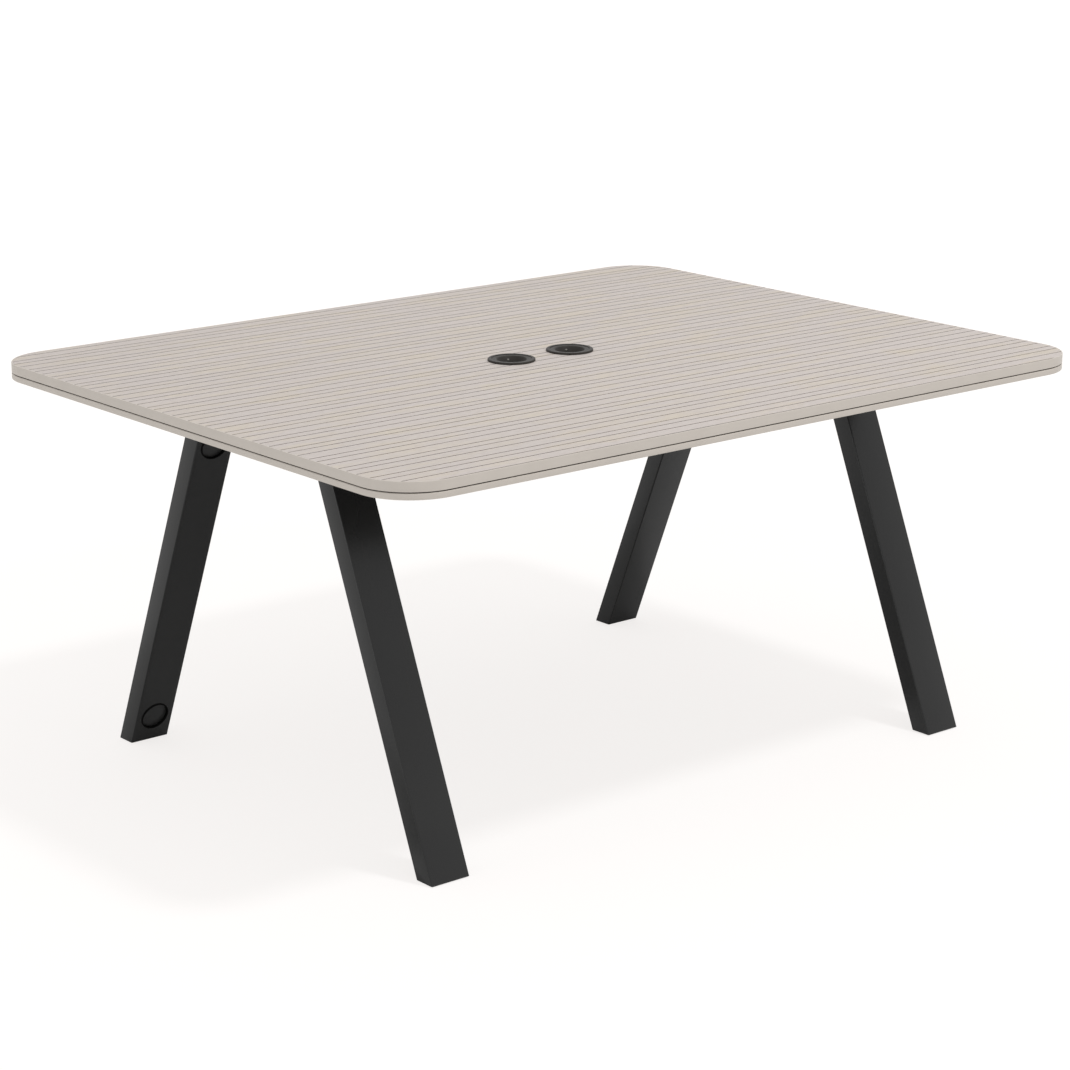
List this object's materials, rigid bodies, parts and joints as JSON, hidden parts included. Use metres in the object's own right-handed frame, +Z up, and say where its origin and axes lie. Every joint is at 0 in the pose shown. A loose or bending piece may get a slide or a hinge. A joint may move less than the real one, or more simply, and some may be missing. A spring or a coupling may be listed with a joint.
{
  "type": "double desk",
  "caption": "Rectangular two-person desk with a thick rounded lined top, central power ports and splayed black tube legs on levelling feet",
  "frame": {"origin": "on the floor, under the centre of the top", "axes": "+X along the long edge to the right, +Y across the desk to the rear, +Z up"},
  "size_m": [1.6, 1.25, 0.744],
  "materials": {
    "laminate_board": "matt lined laminate on board",
    "edge_band": "matt",
    "powder_coat": "matt fine-textured powder coat",
    "black_plastic": "satin moulded",
    "cap_plastic": "matt moulded",
    "black_rubber": "matt",
    "nickel_contact": "plated",
    "brass_contact": "plain",
    "zinc_steel": "bright zinc plated"
  },
  "bodies": {
    "desk": {"beam_end_plugs": "black_plastic", "cable_collar_lower": "black_rubber", "cable_collar_upper": "black_rubber", "cable_tray": "powder_coat", "end_beam_left": "powder_coat", "end_beam_right": "powder_coat", "foot_insert_front_left": "black_plastic", "foot_insert_front_right": "black_plastic", "foot_insert_rear_left": "black_plastic", "foot_insert_rear_right": "black_plastic", "glide_nuts": "zinc_steel", "leg_bolts": "zinc_steel", "leg_front_left": "powder_coat", "leg_front_right": "powder_coat", "leg_head_plate_front_left": "powder_coat", "leg_head_plate_front_right": "powder_coat", "leg_head_plate_rear_left": "powder_coat", "leg_head_plate_rear_right": "powder_coat", "leg_rear_left": "powder_coat", "leg_rear_right": "powder_coat", "leg_weld_nuts": "zinc_steel", "lower_board": "laminate_board", "lower_edge_band": "edge_band", "port_contact_base_left": "black_plastic", "port_contact_base_right": "black_plastic", "port_earth_pin_left": "nickel_contact", "port_earth_pin_right": "nickel_contact", "port_housing_left": "black_plastic", "port_housing_right": "black_plastic", "port_pin_contacts_left": "brass_contact", "port_pin_contacts_right": "brass_contact", "port_rear_cover_left": "black_plastic", "port_rear_cover_right": "black_plastic", "port_ring_nut_left": "black_plastic", "port_ring_nut_right": "black_plastic", "port_socket_left": "black_plastic", "port_socket_right": "black_plastic", "rail_bolts": "zinc_steel", "rail_front": "powder_coat", "rail_plate_front_left": "powder_coat", "rail_plate_front_right": "powder_coat", "rail_plate_rear_left": "powder_coat", "rail_plate_rear_right": "powder_coat", "rail_rear": "powder_coat", "rail_weld_nuts": "zinc_steel", "top_screws": "zinc_steel", "tray_screws": "zinc_steel", "upper_board": "laminate_board", "upper_edge_band": "edge_band"},
    "cap_lower": {"cable_cap_lower": "cap_plastic"},
    "cap_upper": {"cable_cap_upper": "cap_plastic"},
    "glide_front_left": {"glide_pad_front_left": "black_plastic"},
    "glide_front_right": {"glide_pad_front_right": "black_plastic"},
    "glide_rear_left": {"glide_pad_rear_left": "black_plastic"},
    "glide_rear_right": {"glide_pad_rear_right": "black_plastic"},
    "stem_front_left": {"glide_stem_front_left": "zinc_steel"},
    "stem_front_right": {"glide_stem_front_right": "zinc_steel"},
    "stem_rear_left": {"glide_stem_rear_left": "zinc_steel"},
    "stem_rear_right": {"glide_stem_rear_right": "zinc_steel"}
  },
  "joints": [
    {"name": "glide_front_left_height", "type": "slide", "parent": "desk", "child": "glide_front_left", "axis": [0, 0, -1], "range_m": [0, 0.01]},
    {"name": "stem_front_left_turn", "type": "hinge", "parent": "glide_front_left", "child": "stem_front_left", "pos_m": [-0.6, -0.46676, 0.01], "axis": [0, 0, -1], "range_deg": [0, 2880]},
    {"name": "glide_front_right_height", "type": "slide", "parent": "desk", "child": "glide_front_right", "axis": [0, 0, -1], "range_m": [0, 0.01]},
    {"name": "stem_front_right_turn", "type": "hinge", "parent": "glide_front_right", "child": "stem_front_right", "pos_m": [0.6, -0.46676, 0.01], "axis": [0, 0, -1], "range_deg": [0, 2880]},
    {"name": "glide_rear_left_height", "type": "slide", "parent": "desk", "child": "glide_rear_left", "axis": [0, 0, -1], "range_m": [0, 0.01]},
    {"name": "stem_rear_left_turn", "type": "hinge", "parent": "glide_rear_left", "child": "stem_rear_left", "pos_m": [-0.6, 0.46676, 0.01], "axis": [0, 0, -1], "range_deg": [0, 2880]},
    {"name": "glide_rear_right_height", "type": "slide", "parent": "desk", "child": "glide_rear_right", "axis": [0, 0, -1], "range_m": [0, 0.01]},
    {"name": "stem_rear_right_turn", "type": "hinge", "parent": "glide_rear_right", "child": "stem_rear_right", "pos_m": [0.6, 0.46676, 0.01], "axis": [0, 0, -1], "range_deg": [0, 2880]},
    {"name": "cap_lower_pull", "type": "slide", "parent": "desk", "child": "cap_lower", "axis": [0, -0.9245, -0.3811], "range_m": [0, 0.03]},
    {"name": "cap_upper_pull", "type": "slide", "parent": "desk", "child": "cap_upper", "axis": [0, -0.9245, -0.3811], "range_m": [0, 0.03]}
  ],
  "couplings": [
    {"joint": "stem_front_left_turn", "follows": "glide_front_left_height", "rad_per_m": 5026.5},
    {"joint": "stem_front_right_turn", "follows": "glide_front_right_height", "rad_per_m": 5026.5},
    {"joint": "stem_rear_left_turn", "follows": "glide_rear_left_height", "rad_per_m": 5026.5},
    {"joint": "stem_rear_right_turn", "follows": "glide_rear_right_height", "rad_per_m": 5026.5}
  ]
}
